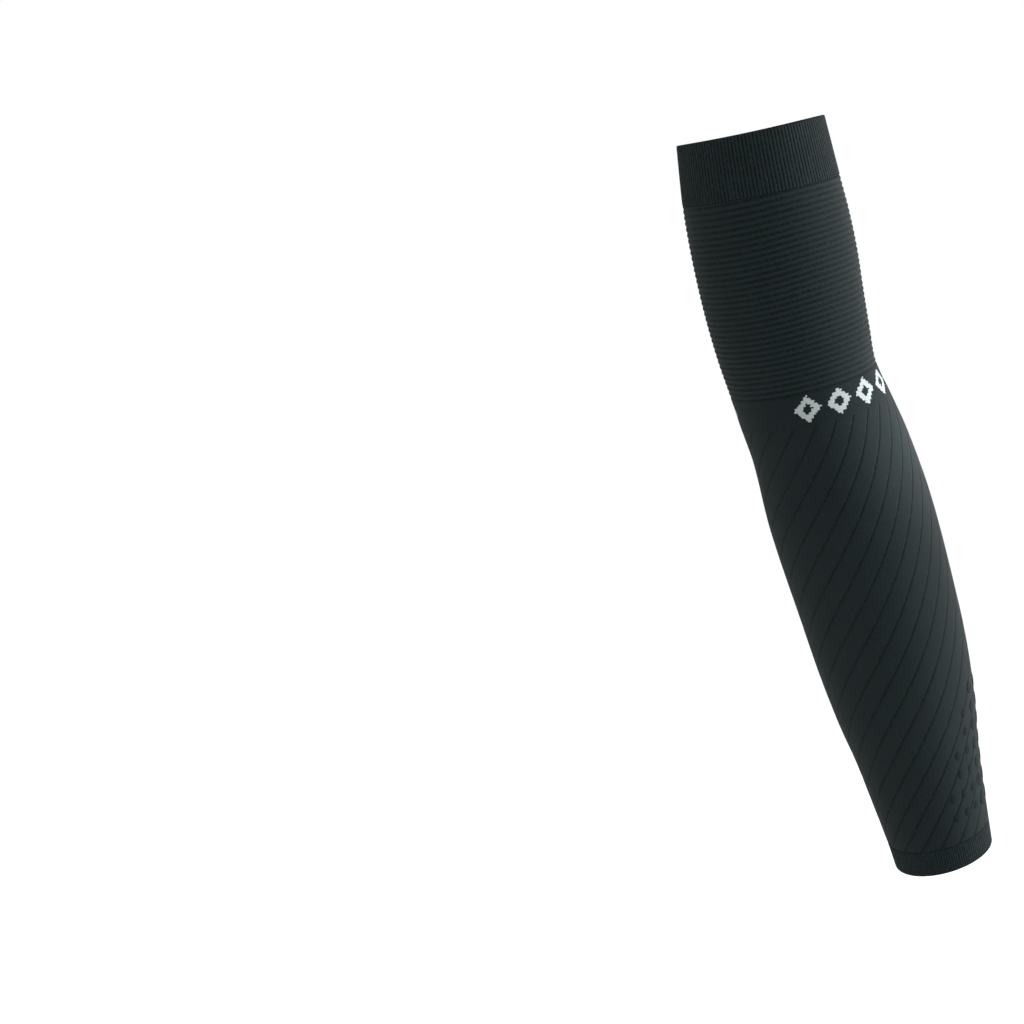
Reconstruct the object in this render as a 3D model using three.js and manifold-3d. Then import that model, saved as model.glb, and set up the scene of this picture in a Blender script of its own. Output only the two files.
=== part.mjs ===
// A knitted compression sleeve for one arm, in the form it has when worn.
// Millimetres, +Z up. The origin is the centre of the upper opening, the arm hangs down from it,
// -Y is the front of the arm and +X its outer side.

import * as THREE from "three";
import { mergeVertices } from "three/addons/utils/BufferGeometryUtils.js";
import Module from "manifold-3d";

const wasm = await Module();
wasm.setup();

// Heights of the knit zones, measured straight down, and where the arm carries the wrist
const upperCuffHeight = 33.4;
const ringPitch = 3.077;
const ringCount = 34;
const elbowBandHeight = 17.31;
const forearmHeight = 234;
const wristCuffHeight = 13.4;
const wristCarry = 110;
const wristReach = 32;

// Widths across the front
const upperArmWidth = 91;
const elbowWidth = 83.5;
const forearmWidth = 92;
const wristWidth = 55.4;

// The upper opening's edge dips at the front and back of the arm
const openingDip = 1.1;

// Fabric
const tubeWall = 1.5;
const cuffWall = 2.2;
const seamGap = 0.3;
const cuffRibCount = 130;
const cuffRibDepth = 0.45;
const ringGrooveDepth = 0.55;

// The rings of the upper arm lie lower on the inner side than on the outer one: by the first length
// below the cuff, which fades towards the elbow, and by the second more half way down
const ringSagAtTop = 1.5;
const ringSagMidway = 2.2;
const ringSagSteepness = 2.2;

// Spiral grooves of the forearm: the slope is their angle to the rings, the phase the place of one of
// them at the top, the spread how far they are drawn from the front (or towards it, below zero), and
// the lead how far those at the front are drawn round towards the outer side
const spiralCount = 19;
const slopeAtElbow = 47.5;
const slopeAtWrist = 52.2;
const spiralPhase = -1.7;
const spiralWidth = 1.5;
const spiralDepth = 0.5;
const spreadAtElbow = -13.2;
const spreadAtWrist = 7.4;
const spreadEase = 1.7;
const leadAtElbow = 11.1;
const leadAtWrist = 2.2;

// Grip dots over the wrist end of the outer side, in columns down the arm. The margin is the lowest
// dots' distance from the forearm's end at the front, and the rise how much more it is at the side.
const largeDotWidth = 7;
const smallDotWidth = 4.6;
const dotTopShare = 0.8;
const dotHeight = 0.35;
const dotSeat = 0.6;
const dotPitch = 10.2;
const dotMiddleAngle = 90;
const dotMargin = 12.5;
const dotRise = 2.4;

// The columns of dots on each side of the field's middle, with their angle from it in degrees
const dotColumns = [
  { fromMiddle: 9, dots: 7, width: largeDotWidth },
  { fromMiddle: 26.5, dots: 7, width: largeDotWidth },
  { fromMiddle: 42, dots: 6, width: smallDotWidth },
  { fromMiddle: 56, dots: 4, width: smallDotWidth },
  { fromMiddle: 70, dots: 2, width: smallDotWidth },
];

// How finely the surfaces are cut
const tubeFacets = 20;
const liningFacets = 16;
const liningStep = 30;
const bandStep = 8;
const spiralStep = 16;
const dotFacets = 7;

// Each knit zone runs from its top to its bottom, measured straight down from the origin
const zoneHeights = {
  upperCuff: upperCuffHeight,
  rings: ringPitch * ringCount,
  elbowBand: elbowBandHeight,
  forearm: forearmHeight,
  wristCuff: wristCuffHeight,
};
const zones = {};
let sleeveHeight = 0;
for (const [name, height] of Object.entries(zoneHeights)) {
  zones[name] = { top: sleeveHeight, bottom: sleeveHeight + height };
  sleeveHeight += height;
}

function dropIn(zone, share) {
  return THREE.MathUtils.lerp(zones[zone].top, zones[zone].bottom, share);
}

// Sections of the arm. at: share of the zone's height. out and front: shares of the wrist's carry and
// reach. across: share of the named width. deep: depth over width. roll and lean: how far the section
// plane is turned, in degrees, outer side up and front edge down. dip: share of the opening's dip.
const sectionColumns = ["zone", "at", "out", "front", "width", "across", "deep", "roll", "lean", "dip"];
const sectionRows = [
  ["upperCuff", 0.0, 0.0, 0.0, upperArmWidth, 0.923, 1.06, 12.0, -1.6, 1.0],
  ["rings", 0.0, 0.057, 0.02, upperArmWidth, 0.981, 1.06, 11.8, 0.2, 0.0],
  ["rings", 0.19, 0.097, 0.034, upperArmWidth, 1.004, 1.06, 12.0, 1.8, 0.0],
  ["rings", 0.4, 0.14, 0.059, upperArmWidth, 1.006, 1.06, 12.2, 2.3, 0.0],
  ["rings", 0.61, 0.181, 0.089, upperArmWidth, 0.985, 1.05, 12.4, 3.1, 0.0],
  ["rings", 0.82, 0.228, 0.13, elbowWidth, 1.04, 1.04, 13.2, 3.7, 0.0],
  ["elbowBand", 0.0, 0.275, 0.176, elbowWidth, 1.003, 1.03, 14.2, 4.2, 0.0],
  ["forearm", 0.0, 0.339, 0.222, elbowWidth, 1.027, 1.02, 14.2, 4.5, 0.0],
  ["forearm", 0.09, 0.418, 0.28, forearmWidth, 0.958, 1.0, 12.4, 4.5, 0.0],
  ["forearm", 0.25, 0.523, 0.375, forearmWidth, 1.0, 1.0, 12.0, 4.3, 0.0],
  ["forearm", 0.48, 0.671, 0.503, forearmWidth, 0.957, 1.0, 11.7, 4.5, 0.0],
  ["forearm", 0.6, 0.743, 0.572, forearmWidth, 0.917, 1.01, 12.0, 4.9, 0.0],
  ["forearm", 0.72, 0.812, 0.651, forearmWidth, 0.842, 1.03, 12.6, 5.6, 0.0],
  ["forearm", 0.81, 0.863, 0.726, wristWidth, 1.257, 1.05, 13.6, 6.6, 0.0],
  ["forearm", 0.9, 0.913, 0.816, wristWidth, 1.153, 1.06, 15.0, 7.7, 0.0],
  ["wristCuff", 0.0, 0.97, 0.93, wristWidth, 1.053, 1.08, 16.8, 9.0, 0.0],
  ["wristCuff", 1.0, 1.0, 1.0, wristWidth, 1.008, 1.08, 18.0, 8.9, 0.0],
];
const sections = sectionRows.map((row) =>
  Object.fromEntries(sectionColumns.map((name, i) => [name, row[i]])),
);
for (const row of sections) row.drop = dropIn(row.zone, row.at);

// A column of the table at any drop: a cubic through the rows, with the slope at each row taken
// from its neighbours
function column(read, drop) {
  const last = sections.length - 1;
  let i = 0;
  while (i < last - 1 && drop > sections[i + 1].drop) i += 1;
  const slopeAt = (k) => {
    const a = sections[Math.max(k - 1, 0)];
    const b = sections[Math.min(k + 1, last)];
    return (read(b) - read(a)) / (b.drop - a.drop);
  };
  const span = sections[i + 1].drop - sections[i].drop;
  const t = (drop - sections[i].drop) / span;
  const [p, q] = [read(sections[i]), read(sections[i + 1])];
  const [mp, mq] = [slopeAt(i) * span, slopeAt(i + 1) * span];
  const bend = (2 * (p - q) + mp + mq) * t + 3 * (q - p) - 2 * mp - mq;
  return p + t * (mp + t * bend);
}

// The section at a drop: its centre, the two directions of its plane, its half sizes and its dip
function sectionAt(drop) {
  const roll = THREE.MathUtils.degToRad(column((row) => row.roll, drop));
  const lean = THREE.MathUtils.degToRad(column((row) => row.lean, drop));
  const halfWidth = column((row) => (row.width * row.across) / 2, drop);
  const down = new THREE.Vector3(Math.sin(roll), 0, -Math.cos(roll));
  return {
    centre: new THREE.Vector3(
      wristCarry * column((row) => row.out, drop),
      -wristReach * column((row) => row.front, drop),
      -drop,
    ),
    side: new THREE.Vector3(Math.cos(roll), 0, Math.sin(roll)),
    down,
    front: new THREE.Vector3(0, -Math.cos(lean), 0).addScaledVector(down, Math.sin(lean)),
    halfWidth,
    halfDepth: halfWidth * column((row) => row.deep, drop),
    dip: openingDip * column((row) => row.dip, drop),
  };
}

// A point of the section's outline, moved outwards by raise. Angle 0 is the front, a quarter turn
// is the outer side.
function surfacePoint(section, angle, raise) {
  return section.centre
    .clone()
    .addScaledVector(section.side, (section.halfWidth + raise) * Math.sin(angle))
    .addScaledVector(section.front, (section.halfDepth + raise) * Math.cos(angle))
    .addScaledVector(section.down, section.dip * Math.cos(angle) ** 2);
}

// One ring of points: its angles rise by a full turn in all
function ring(drop, angles, raiseAt) {
  const section = sectionAt(drop);
  return angles.map((angle, i) => ({ angle, point: surfacePoint(section, angle, raiseAt(i)) }));
}

function evenAngles(count) {
  return Array.from({ length: count }, (_, i) => (2 * Math.PI * i) / count);
}

// Evenly spaced drops from one to another, no further apart than the step
function evenDrops(from, to, step) {
  const cells = Math.max(1, Math.ceil((to - from) / step));
  return Array.from({ length: cells + 1 }, (_, i) => from + ((to - from) * i) / cells);
}

// Collects triangles, and joins rings of points by bands of them
class Shell {
  constructor() {
    this.corners = [];
  }

  triangle(a, b, c) {
    for (const p of [a, b, c]) this.corners.push(p.x, p.y, p.z);
  }

  // Two rings with the same number of points, the first above the second, faces outwards. Each
  // four-sided cell is split along its shorter diagonal.
  band(upper, lower) {
    for (let i = 0; i < upper.length; i += 1) {
      const j = (i + 1) % upper.length;
      const [a, b, c, d] = [upper[i].point, lower[i].point, lower[j].point, upper[j].point];
      if (a.distanceTo(c) < b.distanceTo(d)) {
        this.triangle(a, b, c);
        this.triangle(a, c, d);
      } else {
        this.triangle(a, b, d);
        this.triangle(b, c, d);
      }
    }
  }

  // Two rings with any number of points: each step takes the ring whose next point comes first
  zip(outer, inner) {
    const start = outer[0].angle;
    const turned = (points) => {
      const at = (p) => THREE.MathUtils.euclideanModulo(p.angle - start, 2 * Math.PI);
      const sorted = points.map((p) => ({ at: at(p), point: p.point })).sort((p, q) => p.at - q.at);
      return [...sorted, { at: sorted[0].at + 2 * Math.PI, point: sorted[0].point }];
    };
    const [a, b] = [turned(outer), turned(inner)];
    let [i, j] = [0, 0];
    while (i < a.length - 1 || j < b.length - 1) {
      if (j === b.length - 1 || (i < a.length - 1 && a[i + 1].at <= b[j + 1].at)) {
        this.triangle(a[i].point, a[i + 1].point, b[j].point);
        i += 1;
      } else {
        this.triangle(a[i].point, b[j + 1].point, b[j].point);
        j += 1;
      }
    }
  }

  geometry() {
    const geometry = new THREE.BufferGeometry();
    geometry.setAttribute("position", new THREE.Float32BufferAttribute(this.corners, 3));
    return geometry;
  }
}

// A tube of fabric: outer rings with their relief, a plain lining, and a flat edge at each end
function fabricTube(outerRings, top, bottom, wall) {
  const shell = new Shell();
  const lining = evenDrops(top, bottom, liningStep).map((drop) =>
    ring(drop, evenAngles(liningFacets), () => -wall),
  );
  for (let i = 1; i < outerRings.length; i += 1) shell.band(outerRings[i - 1], outerRings[i]);
  for (let i = 1; i < lining.length; i += 1) shell.band(lining[i], lining[i - 1]);
  shell.zip(outerRings[0], lining[0]);
  shell.zip(lining.at(-1), outerRings.at(-1));
  return shell.geometry();
}

// A zone's ends, drawn back by half the seam gap where it meets the next piece
function pieceEnds(zone) {
  const { top, bottom } = zones[zone];
  return {
    top: top === 0 ? top : top + seamGap / 2,
    bottom: bottom === sleeveHeight ? bottom : bottom - seamGap / 2,
  };
}

// A cuff: a doubled band of fine upright ribs
function ribbedCuff(zone) {
  const { top, bottom } = pieceEnds(zone);
  const ribEdges = evenAngles(2 * cuffRibCount);
  const raiseAt = (i) => (i % 2 === 0 ? 0 : -cuffRibDepth);
  const rings = [top, bottom].map((drop) => ring(drop, ribEdges, raiseAt));
  return fabricTube(rings, top, bottom, cuffWall);
}

// How much lower a ring rib lies at an angle, at a share of the zone's height
function ringSag(share, angle) {
  const most = ringSagAtTop * (1 - share) + ringSagMidway * Math.sin(Math.PI * share);
  return (most * (1 - Math.tanh(ringSagSteepness * Math.sin(angle)))) / 2;
}

// The upper arm: rounded ribs that run round the arm, with a groove between each two. They sag in
// full from the third one down, and the zone's own ends stay level.
function ringRibbedTube(zone) {
  const { top, bottom } = pieceEnds(zone);
  const angles = evenAngles(tubeFacets);
  const rings = [];
  for (let i = 0; i <= 2 * ringCount; i += 1) {
    const share = i / (2 * ringCount);
    const raise = i % 2 === 0 ? -ringGrooveDepth : 0;
    const dropAt = (angle) => dropIn(zone, share) + Math.min(i / 4, 1) * ringSag(share, angle);
    const points = angles.map((angle) => {
      const section = sectionAt(THREE.MathUtils.clamp(dropAt(angle), top, bottom));
      return { angle, point: surfacePoint(section, angle, raise) };
    });
    rings.push(points);
  }
  return fabricTube(rings, top, bottom, tubeWall);
}

function plainTube(zone) {
  const { top, bottom } = pieceEnds(zone);
  const angles = evenAngles(tubeFacets);
  const rings = evenDrops(top, bottom, bandStep).map((drop) => ring(drop, angles, () => 0));
  return fabricTube(rings, top, bottom, tubeWall);
}

// An angle in degrees, in radians, between its values at the two ends of the forearm
function between(atElbow, atWrist, share) {
  return THREE.MathUtils.degToRad(THREE.MathUtils.lerp(atElbow, atWrist, share));
}

function forearmShare(drop) {
  return (drop - zones.forearm.top) / forearmHeight;
}

// How far a spiral groove has turned round the arm between the forearm's top and a drop
function spiralTurn(drop) {
  const drops = evenDrops(zones.forearm.top, drop, bandStep);
  const path = drops.map(sectionAt);
  let turn = 0;
  for (let i = 1; i < path.length; i += 1) {
    const rise = Math.tan(between(slopeAtElbow, slopeAtWrist, forearmShare(drops[i])));
    const run = path[i].centre.distanceTo(path[i - 1].centre) / rise;
    turn -= run / ((path[i].halfWidth + path[i].halfDepth) / 2);
  }
  return turn;
}

// The forearm's outer rings: four points for each groove, at its two edges, its bottom and midway
// to the next, carried round with the groove
function spiralRing(drop) {
  const section = sectionAt(drop);
  const pitch = (2 * Math.PI) / spiralCount;
  const halfGroove = spiralWidth / (section.halfWidth + section.halfDepth);
  const steps = [
    { turn: -halfGroove, raise: 0 },
    { turn: 0, raise: -spiralDepth },
    { turn: halfGroove, raise: 0 },
    { turn: pitch / 2, raise: 0 },
  ];
  const share = Math.max(forearmShare(drop), 0);
  const spread = between(spreadAtElbow, spreadAtWrist, share ** spreadEase);
  const lead = between(leadAtElbow, leadAtWrist, share);
  const first = THREE.MathUtils.degToRad(spiralPhase) + spiralTurn(drop);
  const points = [];
  for (let i = 0; i < spiralCount; i += 1) {
    for (const step of steps) {
      const even = first + i * pitch + step.turn;
      const angle = even + spread * Math.sin(even) + lead * Math.cos(even);
      points.push({ angle, point: surfacePoint(section, angle, step.raise) });
    }
  }
  return points;
}

function toSolid(geometry) {
  const bare = geometry.clone();
  bare.deleteAttribute("normal");
  bare.deleteAttribute("uv");
  const merged = mergeVertices(bare);
  return new wasm.Manifold(
    new wasm.Mesh({
      numProp: 3,
      vertProperties: merged.getAttribute("position").array,
      triVerts: new Uint32Array(merged.getIndex().array),
    }),
  );
}

function toGeometry(solid) {
  const mesh = solid.getMesh();
  const geometry = new THREE.BufferGeometry();
  geometry.setAttribute("position", new THREE.Float32BufferAttribute(mesh.vertProperties, 3));
  geometry.setIndex(Array.from(mesh.triVerts));
  return geometry;
}

// One grip dot: a low disc that narrows outwards, its foot seated in the fabric
function gripDot(drop, angle, width) {
  const near = 0.01;
  const place = surfacePoint(sectionAt(drop), angle, 0);
  const along = surfacePoint(sectionAt(drop + near), angle, 0).sub(place);
  const around = surfacePoint(sectionAt(drop), angle + near, 0).sub(place);
  const outwards = along.clone().cross(around).normalize();
  const height = dotHeight + dotSeat;
  const disc = new THREE.CylinderGeometry(dotTopShare / 2, 1 / 2, height, dotFacets);
  disc.scale(width, 1, width);
  const downArm = along.normalize();
  const roundArm = outwards.clone().cross(downArm);
  disc.applyMatrix4(new THREE.Matrix4().makeBasis(roundArm, outwards, downArm));
  const middle = place.addScaledVector(outwards, height / 2 - dotSeat);
  return disc.translate(middle.x, middle.y, middle.z);
}

// The columns of dots all end on one row above the wrist cuff, and grow longer towards the middle
function gripDots() {
  const dots = [];
  for (const column of dotColumns) {
    for (const side of [-1, 1]) {
      const angle = THREE.MathUtils.degToRad(dotMiddleAngle + side * column.fromMiddle);
      const lowest = zones.forearm.bottom - dotMargin - dotRise * Math.sin(angle);
      for (let i = 0; i < column.dots; i += 1) {
        dots.push(gripDot(lowest - i * dotPitch, angle, column.width));
      }
    }
  }
  return dots;
}

function grippedForearm(zone) {
  const { top, bottom } = pieceEnds(zone);
  const rings = evenDrops(top, bottom, spiralStep).map(spiralRing);
  let solid = toSolid(fabricTube(rings, top, bottom, tubeWall));
  for (const dot of gripDots()) solid = solid.add(toSolid(dot));
  return toGeometry(solid);
}

const knit = { roughness: 0.85, metalness: 0 };
const ribKnit = new THREE.MeshStandardMaterial({ color: 0x15191b, ...knit });
const ringKnit = new THREE.MeshStandardMaterial({ color: 0x1a1f21, ...knit });
const bandKnit = new THREE.MeshStandardMaterial({ color: 0x1a1e20, ...knit });
const spiralKnit = new THREE.MeshStandardMaterial({ color: 0x1c2224, ...knit });

const sleeve = new THREE.Group();
const pieces = [
  ["upper_cuff", ribbedCuff("upperCuff"), ribKnit],
  ["upper_arm", ringRibbedTube("rings"), ringKnit],
  ["elbow_band", plainTube("elbowBand"), bandKnit],
  ["forearm", grippedForearm("forearm"), spiralKnit],
  ["wrist_cuff", ribbedCuff("wristCuff"), ribKnit],
];
for (const [name, geometry, material] of pieces) {
  const mesh = new THREE.Mesh(geometry, material);
  mesh.name = name;
  sleeve.add(mesh);
}

export default sleeve;
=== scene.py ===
import math

import bpy
import numpy as np
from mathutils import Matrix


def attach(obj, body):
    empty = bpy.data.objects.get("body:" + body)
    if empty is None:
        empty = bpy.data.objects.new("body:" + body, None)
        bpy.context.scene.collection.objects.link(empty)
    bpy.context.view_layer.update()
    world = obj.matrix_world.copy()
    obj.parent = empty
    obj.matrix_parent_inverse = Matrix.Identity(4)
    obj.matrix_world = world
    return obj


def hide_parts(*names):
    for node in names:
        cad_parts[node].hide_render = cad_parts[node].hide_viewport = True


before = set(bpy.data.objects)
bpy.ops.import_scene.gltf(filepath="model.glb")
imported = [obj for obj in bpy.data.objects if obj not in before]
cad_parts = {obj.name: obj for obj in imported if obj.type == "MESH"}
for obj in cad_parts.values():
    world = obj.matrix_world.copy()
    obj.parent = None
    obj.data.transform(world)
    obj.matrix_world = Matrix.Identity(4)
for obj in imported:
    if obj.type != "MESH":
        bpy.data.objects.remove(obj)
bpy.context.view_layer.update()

# Upper cuff
# The doubled band at the top that grips the upper arm: a nylon and elastane rib, knitted as a strip,
# folded over at its upper edge and linked to the tube along its lower one. The arm goes in here.
MM = 0.001
RIB_COUNT = 130
RIB_COLUMNS = 10
RIB_SHARE = 0.8
DEPTH_PER_PITCH = 0.13
CUFF_WALL = 2.2
CUFF_EDGE = 0.75
EDGE_POINTS = 5
GIRTHS_PER_ZONE = 60

ZONE_HEIGHTS = {
    "upper_cuff": 33.4,
    "upper_arm": 104.618,
    "elbow_band": 17.31,
    "forearm": 234.0,
    "wrist_cuff": 13.4,
}
WRIST_CARRY = 110.0
WRIST_REACH = 32.0
OPENING_DIP = 1.1
UPPER_ARM = 91.0
ELBOW = 83.5
FOREARM = 92.0
WRIST = 55.4

# Each row is one section of the arm: its zone and the share of the zone's height, shares of the
# wrist's carry and reach, the width and the share of it, depth over width, roll and lean of the
# section's plane in degrees, and the share of the opening's dip.
SECTIONS = [
    ("upper_cuff", 0.0, 0.0, 0.0, UPPER_ARM, 0.923, 1.06, 12.0, -1.6, 1.0),
    ("upper_arm", 0.0, 0.057, 0.02, UPPER_ARM, 0.981, 1.06, 11.8, 0.2, 0.0),
    ("upper_arm", 0.19, 0.097, 0.034, UPPER_ARM, 1.004, 1.06, 12.0, 1.8, 0.0),
    ("upper_arm", 0.4, 0.14, 0.059, UPPER_ARM, 1.006, 1.06, 12.2, 2.3, 0.0),
    ("upper_arm", 0.61, 0.181, 0.089, UPPER_ARM, 0.985, 1.05, 12.4, 3.1, 0.0),
    ("upper_arm", 0.82, 0.228, 0.13, ELBOW, 1.04, 1.04, 13.2, 3.7, 0.0),
    ("elbow_band", 0.0, 0.275, 0.176, ELBOW, 1.003, 1.03, 14.2, 4.2, 0.0),
    ("forearm", 0.0, 0.339, 0.222, ELBOW, 1.027, 1.02, 14.2, 4.5, 0.0),
    ("forearm", 0.09, 0.418, 0.28, FOREARM, 0.958, 1.0, 12.4, 4.5, 0.0),
    ("forearm", 0.25, 0.523, 0.375, FOREARM, 1.0, 1.0, 12.0, 4.3, 0.0),
    ("forearm", 0.48, 0.671, 0.503, FOREARM, 0.957, 1.0, 11.7, 4.5, 0.0),
    ("forearm", 0.6, 0.743, 0.572, FOREARM, 0.917, 1.01, 12.0, 4.9, 0.0),
    ("forearm", 0.72, 0.812, 0.651, FOREARM, 0.842, 1.03, 12.6, 5.6, 0.0),
    ("forearm", 0.81, 0.863, 0.726, WRIST, 1.257, 1.05, 13.6, 6.6, 0.0),
    ("forearm", 0.9, 0.913, 0.816, WRIST, 1.153, 1.06, 15.0, 7.7, 0.0),
    ("wrist_cuff", 0.0, 0.97, 0.93, WRIST, 1.053, 1.08, 16.8, 9.0, 0.0),
    ("wrist_cuff", 1.0, 1.0, 1.0, WRIST, 1.008, 1.08, 18.0, 8.9, 0.0),
]
zone_bottoms = dict(zip(ZONE_HEIGHTS, np.cumsum(list(ZONE_HEIGHTS.values()))))
zone_tops = {zone: zone_bottoms[zone] - height for zone, height in ZONE_HEIGHTS.items()}
section_drops = np.array([zone_tops[row[0]] + row[1] * ZONE_HEIGHTS[row[0]] for row in SECTIONS])
section_values = np.array([
    (WRIST_CARRY * out, -WRIST_REACH * front, width * across / 2, width * across * deep / 2,
     math.radians(roll), math.radians(lean), OPENING_DIP * dip)
    for _, _, out, front, width, across, deep, roll, lean, dip in SECTIONS
])
padded_drops = np.concatenate((section_drops[:1], section_drops, section_drops[-1:]))
padded_values = np.concatenate((section_values[:1], section_values, section_values[-1:]))
section_slopes = (padded_values[2:] - padded_values[:-2]) / (padded_drops[2:] - padded_drops[:-2])[:, None]


def arm_section(drop):
    """Centre across and forward, half width, half depth, roll, lean and dip at drops below the
    origin: a cubic between each two rows of the table, with the slope at a row taken from the rows
    on either side of it."""
    row = np.clip(np.searchsorted(section_drops, drop, side="right") - 1, 0, len(SECTIONS) - 2)
    span = (section_drops[row + 1] - section_drops[row])[..., None]
    along = (drop - section_drops[row])[..., None] / span
    here, after = section_values[row], section_values[row + 1]
    leave, arrive = section_slopes[row] * span, section_slopes[row + 1] * span
    bend = (2 * (here - after) + leave + arrive) * along + 3 * (after - here) - 2 * leave - arrive
    return np.moveaxis(here + along * (leave + along * bend), -1, 0)


def sleeve_surface(drop, angle, lift):
    """Points in metres: the section's centre, plus its side direction times (half width + lift) times
    the sine of the angle, plus its front direction times (half depth + lift) times the cosine, plus
    its down direction times the dip times the cosine squared. Angle 0 is the front of the arm and a
    quarter turn its outer side."""
    drop, angle, lift = np.broadcast_arrays(drop, angle, lift)
    across, forward, half_width, half_depth, roll, lean, dip = arm_section(drop)
    sine, cosine = np.sin(angle), np.cos(angle)
    to_side = (half_width + lift) * sine
    to_front = (half_depth + lift) * cosine
    to_down = to_front * np.sin(lean) + dip * cosine**2
    x = across + to_side * np.cos(roll) + to_down * np.sin(roll)
    y = forward - to_front * np.cos(lean)
    z = -drop + to_side * np.sin(roll) - to_down * np.cos(roll)
    return np.stack((x, y, z), axis=-1) * MM


def wall_profile(top, bottom, wall, edges, rows, lining_rows):
    """Drop, lift and share of the relief for each row of a wall of fabric: straight down the outside,
    two quarter circles with a flat between them round the lower edge, straight up the lining, and
    the same round the upper edge. edges are the radii of the upper and lower edge. The share goes
    from 1 on the outside to -1 on the lining."""
    upper, lower = edges
    turn = np.linspace(0, math.pi / 2, EDGE_POINTS)
    outside = np.linspace(top + upper, bottom - lower, rows)
    inside = np.linspace(bottom - lower, top + upper, lining_rows)
    drop = np.concatenate((
        outside,
        bottom - lower + lower * np.sin(turn[1:]),
        bottom - lower + lower * np.cos(turn[:-1]),
        inside,
        top + upper - upper * np.sin(turn[1:]),
        top + upper - upper * np.cos(turn[:-1]),
    ))
    lift = np.concatenate((
        np.zeros(rows),
        -lower + lower * np.cos(turn[1:]),
        -wall + lower - lower * np.sin(turn[:-1]),
        np.full(lining_rows, -wall),
        -wall + upper - upper * np.cos(turn[1:]),
        -upper + upper * np.sin(turn[:-1]),
    ))
    return drop, lift, np.clip(1 + 2 * lift / wall, -1, 1)


def knitted_shell(name, drop, angle, lift, rise, material):
    """A closed wall of fabric. Its rows go down the outside and up the lining and its columns round
    the arm, each cell is one face, and the last row and column join the first. The UV map holds the
    turn round the arm and the length in millimetres along the profile. The attribute rise is 1 on
    the crests of the knit and 0 in its grooves."""
    drop, angle, lift, rise = np.broadcast_arrays(drop, angle, lift, rise)
    rows, columns = drop.shape
    points = sleeve_surface(drop, angle, lift)
    step = np.hypot(np.diff(drop[:, 0], append=drop[0, 0]), np.diff(lift.mean(1), append=lift[0].mean()))
    length = np.concatenate(([0.0], np.cumsum(step)))
    row, column = np.meshgrid(np.arange(rows), np.arange(columns), indexing="ij")
    corner_rows = np.stack((row, row + 1, row + 1, row), axis=-1)
    corner_columns = np.stack((column, column, column + 1, column + 1), axis=-1)
    corners = (corner_rows % rows) * columns + corner_columns % columns
    turns = (angle.reshape(-1) / (2 * math.pi))[corners] + (corner_columns == columns)
    mesh = bpy.data.meshes.new(name)
    mesh.vertices.add(points.size // 3)
    mesh.vertices.foreach_set("co", points.ravel())
    mesh.loops.add(corners.size)
    mesh.loops.foreach_set("vertex_index", corners.ravel().astype(np.int32))
    mesh.polygons.add(corners.size // 4)
    mesh.polygons.foreach_set("loop_start", np.arange(0, corners.size, 4, dtype=np.int32))
    mesh.polygons.foreach_set("use_smooth", np.ones(corners.size // 4, dtype=bool))
    mesh.uv_layers.new(name="knit")
    mesh.uv_layers["knit"].uv.foreach_set(
        "vector", np.stack((turns, length[corner_rows]), axis=-1).ravel().astype(np.float32)
    )
    # The rise attribute sets where the materials paint shade: full in the grooves, none on the crests.
    mesh.attributes.new("rise", "FLOAT", "POINT").data.foreach_set("value", rise.ravel().astype(np.float32))
    mesh.update(calc_edges=True)
    mesh.materials.append(material)
    piece = bpy.data.objects.new(name, mesh)
    bpy.context.scene.collection.objects.link(piece)
    return piece


def even_turns(count):
    """Angles of evenly spaced columns round the arm."""
    return np.arange(count) * (2 * math.pi / count)


def zone_cloth(zone):
    """Width and length in metres of a zone's cloth as it lies on the arm: the mean way round it, and
    its length along the arm."""
    drop = np.linspace(zone_tops[zone], zone_bottoms[zone], GIRTHS_PER_ZONE)
    across, forward, half_width, half_depth = arm_section(drop)[:4]
    path = np.stack((across, forward, -drop), axis=-1)
    girth = math.pi * (half_width + half_depth).mean()
    return girth * MM, np.linalg.norm(np.diff(path, axis=0), axis=1).sum() * MM


def math_node(tree, operation, *values):
    """A Math node's output: each value is a number or the socket that it comes from."""
    node = tree.nodes.new("ShaderNodeMath")
    node.operation = operation
    for place, value in enumerate(values):
        if isinstance(value, (int, float)):
            node.inputs[place].default_value = value
        else:
            tree.links.new(value, node.inputs[place])
    return node.outputs[0]


def mix_node(tree, factor, first, second):
    """A colour that goes from the first to the second as the factor goes from 0 to 1."""
    node = tree.nodes.new("ShaderNodeMix")
    node.data_type = "RGBA"
    for place, value in ((0, factor), (6, first), (7, second)):
        if isinstance(value, (int, float, tuple)):
            node.inputs[place].default_value = value
        else:
            tree.links.new(value, node.inputs[place])
    return node.outputs[2]


FALL_ALONG_LEG = 3.6
FALL_ACROSS_LEG = 14.0


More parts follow.
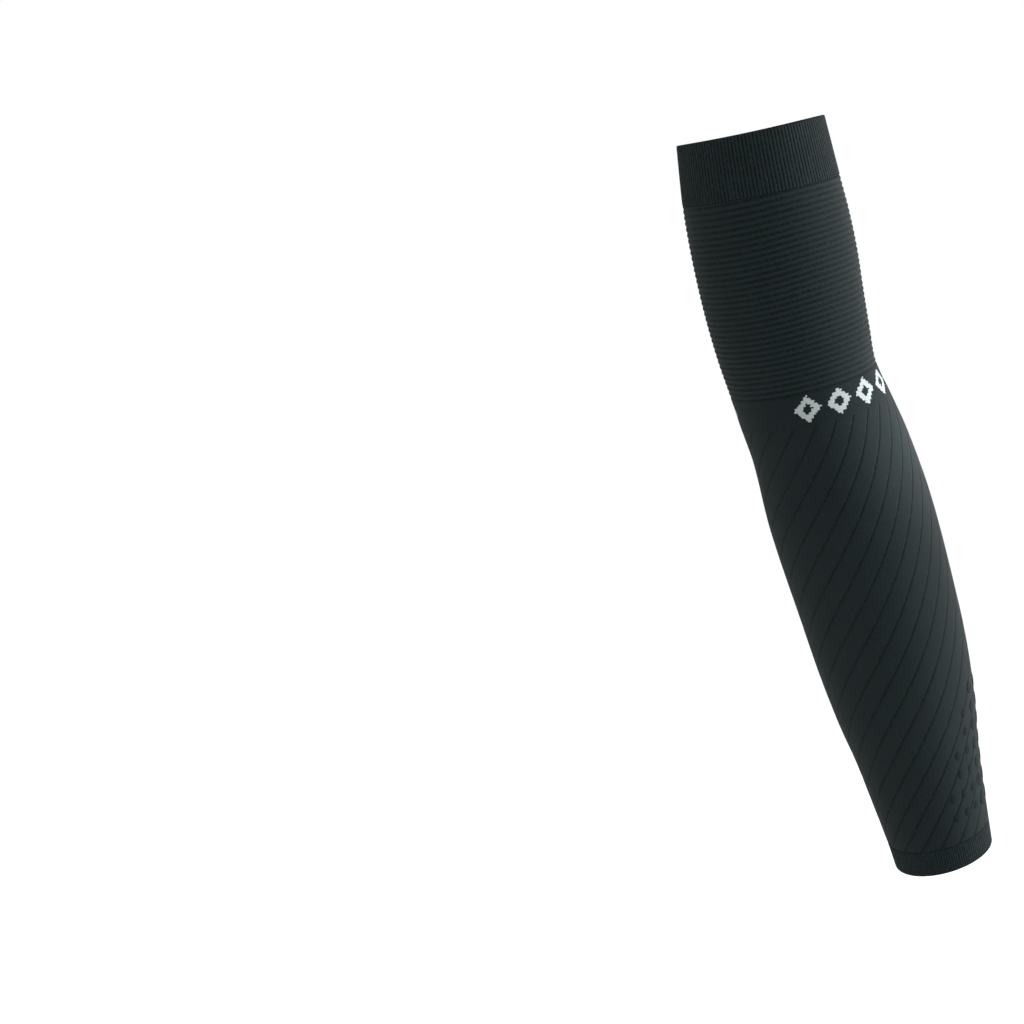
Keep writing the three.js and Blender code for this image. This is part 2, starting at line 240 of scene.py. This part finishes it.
def make_stitch_group():
    """Loops of plain knit on a map of turns and millimetres. Each wale holds two legs that lean
    towards each other, so a course is a row of V shapes. A leg's height is 1 less the fall times the
    square of the distance from its middle, along it and across it, the two multiplied. Speckle is one
    random number for each leg of each stitch."""
    group = bpy.data.node_groups.new("knit_stitches", "ShaderNodeTree")
    group.interface.new_socket("Map", in_out="INPUT", socket_type="NodeSocketVector")
    for socket in ("Wales", "Course", "Lean"):
        group.interface.new_socket(socket, in_out="INPUT", socket_type="NodeSocketFloat")
    for socket in ("Height", "Speckle"):
        group.interface.new_socket(socket, in_out="OUTPUT", socket_type="NodeSocketFloat")
    given = group.nodes.new("NodeGroupInput").outputs
    result = group.nodes.new("NodeGroupOutput").inputs
    split = group.nodes.new("ShaderNodeSeparateXYZ")
    group.links.new(given["Map"], split.inputs[0])
    wale = math_node(group, "MULTIPLY", split.outputs["X"], given["Wales"])
    in_wale = math_node(group, "SUBTRACT", math_node(group, "FRACT", wale), 0.5)
    from_middle = math_node(group, "ABSOLUTE", in_wale)
    course = math_node(group, "DIVIDE", split.outputs["Y"], given["Course"])
    leaning = math_node(group, "MULTIPLY_ADD", from_middle, given["Lean"], course)
    along = math_node(group, "SUBTRACT", math_node(group, "FRACT", leaning), 0.5)
    across = math_node(group, "SUBTRACT", from_middle, 0.25)
    along_squared = math_node(group, "MULTIPLY", along, along)
    bead = math_node(group, "MULTIPLY_ADD", along_squared, -FALL_ALONG_LEG, 1.0)
    across_squared = math_node(group, "MULTIPLY", across, across)
    leg = math_node(group, "MULTIPLY_ADD", across_squared, -FALL_ACROSS_LEG, 1.0)
    group.links.new(math_node(group, "MULTIPLY", bead, leg), result["Height"])
    cell = group.nodes.new("ShaderNodeCombineXYZ")
    group.links.new(math_node(group, "FLOOR", math_node(group, "MULTIPLY", wale, 2.0)), cell.inputs[0])
    group.links.new(math_node(group, "FLOOR", leaning), cell.inputs[1])
    noise = group.nodes.new("ShaderNodeTexWhiteNoise")
    noise.noise_dimensions = "2D"
    group.links.new(cell.outputs[0], noise.inputs["Vector"])
    group.links.new(noise.outputs["Value"], result["Speckle"])
    return group


stitch_group = make_stitch_group()
NYLON_SPECULAR = 0.06
SHEEN_ROUGHNESS = 0.42
SHEEN_TINT = (0.78, 0.88, 0.92, 1)
PATCHES_PER_METRE = 70.0
PATCH_DETAIL = 3.0
UNEVENNESS = 0.2


def knit_material(name, yarn, groove_shade, fleck, flecks, wales, course, lean, bump, contrast, roughness, sheen):
    """Dull knitted nylon. The colour goes from the groove colour, painted shade for the knit's grooves,
    to yarn with the rise of the knit times a patchy unevenness. Each stitch then goes towards the
    colour fleck by its speckle to the power 1 over flecks. wales is the count round the arm and course
    the height of a stitch in millimetres. bump is the stitches' relief in millimetres and contrast the
    share of painted shade that darkens the gaps between them."""
    material = bpy.data.materials.new(name)
    material.use_nodes = True
    tree = material.node_tree
    shader = tree.nodes["Principled BSDF"]
    shader.inputs["Roughness"].default_value = roughness
    shader.inputs["Specular IOR Level"].default_value = NYLON_SPECULAR
    shader.inputs["Sheen Weight"].default_value = sheen
    shader.inputs["Sheen Roughness"].default_value = SHEEN_ROUGHNESS
    shader.inputs["Sheen Tint"].default_value = SHEEN_TINT
    place = tree.nodes.new("ShaderNodeUVMap")
    place.uv_map = "knit"
    place.name = "knit map"
    stitches = tree.nodes.new("ShaderNodeGroup")
    stitches.node_tree = stitch_group
    stitches.name = "stitches"
    tree.links.new(place.outputs[0], stitches.inputs["Map"])
    stitches.inputs["Wales"].default_value = wales
    stitches.inputs["Course"].default_value = course
    stitches.inputs["Lean"].default_value = lean
    rise = tree.nodes.new("ShaderNodeAttribute")
    rise.attribute_name = "rise"
    light = math_node(tree, "POWER", stitches.outputs["Speckle"], 1 / flecks)
    # Painted shade: the gaps between the stitches' legs and the grooves between the knit's crests are
    # darkened in the colour.
    shade = math_node(tree, "MULTIPLY_ADD", stitches.outputs["Height"], contrast, 1.0 - contrast)
    depth = math_node(tree, "MULTIPLY", rise.outputs["Fac"], shade)
    patches = tree.nodes.new("ShaderNodeTexNoise")
    patches.inputs["Scale"].default_value = PATCHES_PER_METRE
    patches.inputs["Detail"].default_value = PATCH_DETAIL
    tree.links.new(tree.nodes.new("ShaderNodeTexCoord").outputs["Object"], patches.inputs["Vector"])
    uneven = math_node(tree, "MULTIPLY_ADD", patches.outputs["Fac"], 2 * UNEVENNESS, 1 - UNEVENNESS)
    ground = mix_node(tree, math_node(tree, "MULTIPLY", depth, uneven), groove_shade, yarn)
    colour = mix_node(tree, light, ground, fleck)
    tree.links.new(colour, shader.inputs["Base Color"])
    relief = tree.nodes.new("ShaderNodeBump")
    relief.inputs["Distance"].default_value = bump * MM
    tree.links.new(stitches.outputs["Height"], relief.inputs["Height"])
    tree.links.new(relief.outputs[0], shader.inputs["Normal"])
    return material


# Its groove colour is painted shade for the valleys between the ribs.
rib_knit = knit_material(
    "rib_knit", yarn=(0.0096, 0.0152, 0.0158, 1), groove_shade=(0.0016, 0.0029, 0.0031, 1),
    fleck=(0.0101, 0.0157, 0.0163, 1), flecks=0.3, wales=RIB_COUNT, course=1.25, lean=0.6, bump=0.06,
    contrast=0.1, roughness=0.8, sheen=0.002,
)


def ribbed_cuff(name, zone, rows, lining_rows):
    """A wall whose surface is raised in upright ribs: each is half an ellipse across its share of the
    width and flat beyond, and the same ribs show on the lining."""
    drop, lift, share = wall_profile(
        zone_tops[zone], zone_bottoms[zone], CUFF_WALL, (CUFF_EDGE, CUFF_EDGE), rows, lining_rows
    )
    angle = even_turns(RIB_COUNT * RIB_COLUMNS)
    across = np.arange(angle.size) / RIB_COLUMNS % 1 * 2 - 1
    rib = np.sqrt(np.clip(1 - (across / RIB_SHARE) ** 2, 0, 1))
    pitch = zone_cloth(zone)[0] / MM / RIB_COUNT
    sunk = DEPTH_PER_PITCH * pitch * (1 - rib)
    return knitted_shell(
        name, drop[:, None], angle[None], lift[:, None] - share[:, None] * sunk, rib[None], rib_knit
    )


upper_cuff = ribbed_cuff("upper_cuff_knit", "upper_cuff", rows=34, lining_rows=8)
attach(upper_cuff, "root")
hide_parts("upper_cuff")

# Upper arm
# The tube over the upper arm, knitted in one with the band and the forearm below it. The knit
# changes every few courses, so that it stands up in rounded rings with a groove between each two.
RING_COUNT = 34
RING_ROWS = 12
RING_COLUMNS = 176
RING_FLATNESS = 2.5
GROOVE_DEPTH = 0.42
SAG_AT_TOP = 1.5
SAG_MIDWAY = 2.2
SAG_STEEPNESS = 2.2
TUBE_WALL = 1.5
SEWN_EDGE = 0.5
KNITTED_ON = 0.06

# Its groove colour is painted shade for the grooves between the rings.
ring_knit = knit_material(
    "ring_knit", yarn=(0.0091, 0.0145, 0.0151, 1), groove_shade=(0.0031, 0.0056, 0.0059, 1),
    fleck=(0.0103, 0.0154, 0.016, 1), flecks=0.25, wales=260, course=0.75, lean=0.9, bump=0.05,
    contrast=0.15, roughness=0.8, sheen=0.015,
)
zone_top = zone_tops["upper_arm"]
drop, lift, share = wall_profile(
    zone_top, zone_bottoms["upper_arm"], TUBE_WALL, (SEWN_EDGE, KNITTED_ON),
    rows=RING_COUNT * RING_ROWS + 1, lining_rows=36,
)
angle = even_turns(RING_COLUMNS)
down_zone = ((drop - zone_top) / ZONE_HEIGHTS["upper_arm"])[:, None]


def ring_sag(down_zone, angle):
    """How much lower a ring lies at an angle: the sag at the top, fading towards the elbow, plus the
    sag midway times half a sine wave, both in full on the inner side and gone on the outer one."""
    most = SAG_AT_TOP * (1 - down_zone) + SAG_MIDWAY * np.sin(math.pi * down_zone)
    return most * (1 - np.tanh(SAG_STEEPNESS * np.sin(angle))) / 2


turn_of_ring = RING_COUNT * (down_zone - ring_sag(down_zone, angle) / ZONE_HEIGHTS["upper_arm"])
ring = 1 - abs(np.cos(math.pi * turn_of_ring)) ** RING_FLATNESS
outside = np.clip(share, 0, 1)[:, None]
upper_arm = knitted_shell(
    "upper_arm_knit", drop[:, None], angle, lift[:, None] - outside * GROOVE_DEPTH * (1 - ring),
    np.where(outside > 0, ring, 1), ring_knit,
)
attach(upper_arm, "root")
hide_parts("upper_arm")

# Elbow band
# A plain stretch of the same tube at the elbow, with a row of pale slanted lozenges knitted into it
# as the second colour of a jacquard. They go round from just inside the front by the outer side and
# the back. The band's first courses are the lower side of the last groove.
BAND_COLUMNS = 240
LOZENGE_PITCH = 25.0
LOZENGE_START = -19.0
LOZENGE_COUNT = 12
LOZENGE_HALF_WIDTH = 7.7
LOZENGE_HALF_HEIGHT = 6.8
LOZENGE_SLANT = 0.27
LOZENGE_HOLE = 0.44
LOZENGE_STAGGER = 0.7
PALE_YARN = (0.42, 0.465, 0.465, 1)
# The pale gap colour is painted shade between the pale stitches' legs.
PALE_GAP_SHADE = (0.05, 0.06, 0.06, 1)
PALE_CONTRAST = 0.75

# Its groove colour is painted shade for the last ring's groove at the band's top.
band_knit = knit_material(
    "band_knit", yarn=(0.0074, 0.0118, 0.0123, 1), groove_shade=(0.0032, 0.006, 0.0063, 1),
    fleck=(0.0102, 0.0148, 0.0154, 1), flecks=0.25, wales=280, course=0.8, lean=0.9, bump=0.08,
    contrast=0.25, roughness=0.8, sheen=0.01,
)


def knit_in_lozenges(material, girth, middle):
    """Gives the stitches inside hollow slanted lozenges the pale yarn. A whole stitch has one colour:
    the place is rounded to stitches, which every second course shifts by the stagger, before the
    lozenge's distance, the sum of the shares of its half width and half height, is taken."""
    tree = material.node_tree
    shader = tree.nodes["Principled BSDF"]
    stitches = tree.nodes["stitches"]
    wales = stitches.inputs["Wales"].default_value
    course = stitches.inputs["Course"].default_value
    split = tree.nodes.new("ShaderNodeSeparateXYZ")
    tree.links.new(tree.nodes["knit map"].outputs[0], split.inputs[0])
    turn = math_node(tree, "FRACT", math_node(tree, "ADD", split.outputs["X"], -LOZENGE_START / 360))
    row = math_node(tree, "FLOOR", math_node(tree, "DIVIDE", split.outputs["Y"], course))
    shift = math_node(tree, "MULTIPLY", math_node(tree, "PINGPONG", row, 1.0), LOZENGE_STAGGER)
    stitch = math_node(tree, "FLOOR", math_node(tree, "MULTIPLY_ADD", turn, wales, shift))
    place = math_node(tree, "DIVIDE", math_node(tree, "ADD", stitch, 0.5), wales * LOZENGE_PITCH / 360)
    height = math_node(tree, "MULTIPLY_ADD", math_node(tree, "ADD", row, 0.5), course, -middle)
    pitch = girth * LOZENGE_PITCH / 360
    from_centre = math_node(tree, "SUBTRACT", math_node(tree, "FRACT", place), 0.5)
    across = math_node(tree, "MULTIPLY", from_centre, pitch)
    slanted = math_node(tree, "MULTIPLY_ADD", height, LOZENGE_SLANT, across)
    wide = math_node(tree, "DIVIDE", math_node(tree, "ABSOLUTE", slanted), LOZENGE_HALF_WIDTH)
    high = math_node(tree, "DIVIDE", math_node(tree, "ABSOLUTE", height), LOZENGE_HALF_HEIGHT)
    away = math_node(tree, "ADD", wide, high)
    in_edge = math_node(tree, "LESS_THAN", away, 1.0)
    out_of_hole = math_node(tree, "GREATER_THAN", away, LOZENGE_HOLE)
    inside = math_node(tree, "MULTIPLY", in_edge, out_of_hole)
    counted = math_node(tree, "LESS_THAN", place, float(LOZENGE_COUNT))
    pale = math_node(tree, "MULTIPLY", inside, counted)
    height_of_leg = stitches.outputs["Height"]
    # Painted shade: each pale stitch darkens towards the gaps between its legs.
    shade = math_node(tree, "MULTIPLY_ADD", height_of_leg, PALE_CONTRAST, 1 - PALE_CONTRAST)
    yarn = mix_node(tree, shade, PALE_GAP_SHADE, PALE_YARN)
    ground = shader.inputs["Base Color"].links[0].from_socket
    tree.links.new(mix_node(tree, pale, ground, yarn), shader.inputs["Base Color"])


band_width, band_length = zone_cloth("elbow_band")
knit_in_lozenges(band_knit, band_width / MM, ZONE_HEIGHTS["elbow_band"] / 2)
drop, lift, share = wall_profile(
    zone_tops["elbow_band"], zone_bottoms["elbow_band"], TUBE_WALL, (KNITTED_ON, KNITTED_ON),
    rows=72, lining_rows=8,
)
half_ring = ZONE_HEIGHTS["upper_arm"] / RING_COUNT / 2
down_groove = np.clip((drop - zone_tops["elbow_band"]) / half_ring, 0, 1)
hollow = np.cos(math.pi / 2 * down_groove) ** RING_FLATNESS * np.clip(share, 0, 1)
elbow_band = knitted_shell(
    "elbow_band_knit", drop[:, None], even_turns(BAND_COLUMNS), (lift - GROOVE_DEPTH * hollow)[:, None],
    1 - hollow[:, None], band_knit,
)
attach(elbow_band, "root")
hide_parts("elbow_band")

# Forearm
# The long tapering tube down to the wrist, in the same knit. Thin grooves of missed stitches climb
# round it towards the outer side, drawn apart and together where the fabric is stretched unevenly.
SPIRAL_COUNT = 19
SLOPE_AT_ENDS = (47.5, 52.2)
SPIRAL_PHASE = math.radians(-1.7)
SPIRAL_WIDTH = 1.7
SPIRAL_DEPTH = 0.22
SPIRAL_STEEPNESS = 1.3
SPREAD_AT_ENDS = (-13.2, 7.4)
SPREAD_EASE = 1.7
LEAD_AT_ENDS = (11.1, 2.2)
COLUMNS_IN_GROOVE = np.array([-1.8, -1.2, -0.8, -0.4, 0, 0.4, 0.8, 1.2, 1.8])
COLUMNS_BETWEEN = 6
PATH_POINTS = 400

# Its groove colour is painted shade for the spiral grooves.
spiral_knit = knit_material(
    "spiral_knit", yarn=(0.0083, 0.0129, 0.0134, 1), groove_shade=(0.003, 0.0053, 0.0056, 1),
    fleck=(0.0105, 0.0152, 0.0158, 1), flecks=0.25, wales=280, course=0.8, lean=0.9, bump=0.08,
    contrast=0.25, roughness=0.8, sheen=0.01,
)
zone_top = zone_tops["forearm"]
drop, lift, share = wall_profile(
    zone_top, zone_bottoms["forearm"], TUBE_WALL, (KNITTED_ON, SEWN_EDGE), rows=196, lining_rows=48
)


def between_ends(ends, share):
    """An angle in radians between its values in degrees at the elbow and at the wrist."""
    return np.interp(share, (0, 1), np.radians(ends))


def spiral_turn(drop):
    """How far a groove has gone round between the forearm's top and a drop: the length of the centre
    path over the slope's tangent and the mean radius, summed from the top."""
    path_drop = np.linspace(zone_top, zone_bottoms["forearm"], PATH_POINTS)
    across, forward, half_width, half_depth = arm_section(path_drop)[:4]
    path = np.stack((across, forward, -path_drop), axis=-1)
    slope = between_ends(SLOPE_AT_ENDS, np.linspace(0, 1, PATH_POINTS)[1:])
    run = np.linalg.norm(np.diff(path, axis=0), axis=1) / np.tan(slope)
    radius = (half_width + half_depth)[1:] / 2
    turned = np.concatenate(([0.0], np.cumsum(-run / radius)))
    return np.interp(drop, path_drop, turned)


# The columns stand close together across each groove and evenly between it and the next. The grooves
# are spaced evenly round the arm, then spread by a sine and led forward by a cosine of their turn.
half_width, half_depth = arm_section(drop)[2:4]
half_groove = (SPIRAL_WIDTH / (half_width + half_depth))[:, None, None]
half_pitch = math.pi / SPIRAL_COUNT
in_groove = COLUMNS_IN_GROOVE * half_groove
groove_side = in_groove[:, :, -1:]
between = np.arange(1, COLUMNS_BETWEEN + 1) / (COLUMNS_BETWEEN + 1)
beyond = groove_side + between * 2 * (half_pitch - groove_side)
from_groove = np.concatenate((in_groove, beyond), axis=2)
turns_apart = 2 * half_pitch * np.arange(SPIRAL_COUNT)[None, :, None]
centres = SPIRAL_PHASE + spiral_turn(drop)[:, None, None] + turns_apart
even = (centres + from_groove).reshape(drop.size, -1)
down_forearm = (drop - zone_top)[:, None] / ZONE_HEIGHTS["forearm"]
spread = between_ends(SPREAD_AT_ENDS, down_forearm**SPREAD_EASE)
angle = even + spread * np.sin(even) + between_ends(LEAD_AT_ENDS, down_forearm) * np.cos(even)
hollow_of_one = np.exp(-((from_groove / half_groove) ** 2) * SPIRAL_STEEPNESS)
hollow = np.tile(hollow_of_one, (1, SPIRAL_COUNT, 1)).reshape(drop.size, -1)
hollow = hollow * np.clip(share, 0, 1)[:, None]
forearm = knitted_shell(
    "forearm_knit", drop[:, None], angle, lift[:, None] - SPIRAL_DEPTH * hollow, 1 - hollow, spiral_knit
)
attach(forearm, "root")
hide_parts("forearm")

# Grip dots
# Low round dots of dark silicone printed on the wrist end of the outer side, so that the arm doesn't
# slide on what it rests on. They stand in columns down the arm that all end on one row: long columns
# of large dots in the middle, and shorter ones of small dots on both sides.
DOT_COLUMN_TURNS = np.radians((9, 26.5, 42, 56, 70))
DOTS_PER_COLUMN = (7, 7, 6, 4, 2)
DOT_RADII = (3.5, 3.5, 2.3, 2.3, 2.3)
DOT_HEIGHT = 0.35
DOT_BLUNTNESS = 0.8
DOT_SEAT = 0.5
DOT_SEAT_SHARE = 0.6
DOT_STEPS = 5
DOT_FACETS = 20
DOT_PITCH = 10.2
DOT_MIDDLE_TURN = math.radians(90)
DOT_MARGIN = 12.5
DOT_ROW_RISE = 2.4

silicone = bpy.data.materials.new("grip_silicone")
silicone.use_nodes = True
shader = silicone.node_tree.nodes["Principled BSDF"]
shader.inputs["Base Color"].default_value = (0.0064, 0.0101, 0.0106, 1)
shader.inputs["Roughness"].default_value = 0.8
shader.inputs["Specular IOR Level"].default_value = 0.05


def grip_dots():
    """Domes laid on the sleeve's surface: each point is a distance down the arm, a distance round it
    and a lift, from a profile that goes out and down from the dome's top to its seat in the knit."""
    column = np.repeat(np.arange(len(DOTS_PER_COLUMN)), DOTS_PER_COLUMN)
    place = np.concatenate([np.arange(n) for n in DOTS_PER_COLUMN])
    dot_angle = DOT_MIDDLE_TURN + np.outer((-1, 1), DOT_COLUMN_TURNS[column]).ravel()
    radius = np.tile(np.take(DOT_RADII, column), 2)[:, None]
    row_drop = zone_bottoms["forearm"] - DOT_MARGIN - DOT_ROW_RISE * np.sin(dot_angle)
    dot_drop = row_drop - np.tile(place, 2) * DOT_PITCH
    half_width, half_depth = arm_section(dot_drop)[2:4]
    tilt = np.linspace(0, math.pi / 2, DOT_STEPS + 1)[1:]
    out = np.concatenate((np.sin(tilt), [1.0, DOT_SEAT_SHARE]))
    up = np.concatenate((np.cos(tilt) ** DOT_BLUNTNESS * DOT_HEIGHT, [-DOT_SEAT, -DOT_SEAT]))
    round_dot = even_turns(DOT_FACETS)
    down_arm = np.concatenate(([0], np.outer(out, np.cos(round_dot)).ravel(), [0])) * radius
    round_arm = np.concatenate(([0], np.outer(out, np.sin(round_dot)).ravel(), [0])) * radius
    lifts = np.concatenate(([DOT_HEIGHT], np.repeat(up, round_dot.size), [-DOT_SEAT]))
    turn = round_arm / ((half_width + half_depth)[:, None] / 2)
    points = sleeve_surface(dot_drop[:, None] + down_arm, dot_angle[:, None] + turn, lifts)
    here = np.arange(DOT_FACETS)
    after = (here + 1) % DOT_FACETS
    top = np.zeros(DOT_FACETS, int)
    cap = np.stack((top, 1 + here, 1 + after), axis=1)
    last = 1 + (out.size - 1) * DOT_FACETS
    base = np.stack((top + last + DOT_FACETS, last + after, last + here), axis=1)
    upper = 1 + np.arange(out.size - 1)[:, None] * DOT_FACETS
    lower = upper + DOT_FACETS
    wall = np.stack((upper + here, lower + here, lower + after, upper + after), axis=-1)
    faces = []
    for start in np.arange(dot_drop.size) * lifts.size:
        for part in (cap, wall.reshape(-1, 4), base):
            faces += (part + start).tolist()
    mesh = bpy.data.meshes.new("grip_dots")
    mesh.from_pydata(points.reshape(-1, 3), [], faces)
    mesh.polygons.foreach_set("use_smooth", np.ones(len(mesh.polygons), dtype=bool))
    mesh.materials.append(silicone)
    piece = bpy.data.objects.new("grip_dots", mesh)
    bpy.context.scene.collection.objects.link(piece)
    return piece


dots = grip_dots()
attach(dots, "root")
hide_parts("forearm")

# Wrist cuff
# A narrow band of the same rib as the upper cuff, folded and linked to the forearm's lower edge. The
# hand goes out here.
wrist_cuff = ribbed_cuff("wrist_cuff_knit", "wrist_cuff", rows=18, lining_rows=6)
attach(wrist_cuff, "root")
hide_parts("wrist_cuff")

# Studio
# A plain white floor well below the hanging sleeve and white all round. A large soft light stands on
# the outer side, a smaller one behind that side, and a narrow one falls on the outside of the elbow.
FLOOR_DROP = 0.95
FLOOR_REACH = 6.0

corners = [(-1, -1), (1, -1), (1, 1), (-1, 1)]
floor_mesh = bpy.data.meshes.new("floor")
floor_mesh.from_pydata(
    [(x * FLOOR_REACH, y * FLOOR_REACH, -FLOOR_DROP) for x, y in corners], [], [(0, 1, 2, 3)]
)
floor = bpy.data.objects.new("floor", floor_mesh)
bpy.context.scene.collection.objects.link(floor)
floor_paint = bpy.data.materials.new("floor_paint")
floor_paint.use_nodes = True
shader = floor_paint.node_tree.nodes["Principled BSDF"]
shader.inputs["Base Color"].default_value = (1, 1, 1, 1)
shader.inputs["Roughness"].default_value = 0.9
floor_mesh.materials.append(floor_paint)

world = bpy.data.worlds.new("studio")
bpy.context.scene.world = world
world.use_nodes = True
world.node_tree.nodes["Background"].inputs["Color"].default_value = (1, 1, 1, 1)
world.node_tree.nodes["Background"].inputs["Strength"].default_value = 1.0


def soft_light(name, place, target, size, power, spread=180):
    """A square light of the given size that faces the target and isn't seen itself. A spread under
    180 degrees narrows its beam."""
    data = bpy.data.lights.new(name, "AREA")
    data.size = size
    data.energy = power
    data.spread = math.radians(spread)
    lamp = bpy.data.objects.new(name, data)
    bpy.context.scene.collection.objects.link(lamp)
    away = np.array(place) - np.array(target)
    flat = math.hypot(away[0], away[1])
    lamp.location = place
    lamp.rotation_euler = (math.atan2(flat, away[2]), 0, math.atan2(away[1], away[0]) + math.pi / 2)
    lamp.visible_camera = False
    return lamp


ARM_MIDDLE = (0.05, -0.01, -0.2)
ELBOW_OUTSIDE = (0.085, -0.02, -0.172)
soft_light("outer_light", (2.2, 0.1, 0.3), ARM_MIDDLE, size=1.6, power=105)
soft_light("rim_light", (1.3, 1.7, 0.1), ARM_MIDDLE, size=1.0, power=10)
soft_light("elbow_light", (1.07, -0.16, 0.12), ELBOW_OUTSIDE, size=0.03, power=0.032, spread=6.5)

# Camera
# A little above the upper opening, two metres in front of it and off to its inner side, and pitched
# down a little.
FOCAL_LENGTH = 125.6
SENSOR_WIDTH = 36.0
PITCH_DOWN = 7.3

camera = bpy.data.objects.new("camera", bpy.data.cameras.new("camera"))
camera.data.lens = FOCAL_LENGTH
camera.data.sensor_width = SENSOR_WIDTH
camera.location = (-0.132534, -1.998682, 0.041896)
camera.rotation_euler = (math.radians(90 - PITCH_DOWN), 0, 0)
bpy.context.scene.collection.objects.link(camera)
bpy.context.scene.camera = camera
bpy.context.scene.view_settings.view_transform = "Standard"
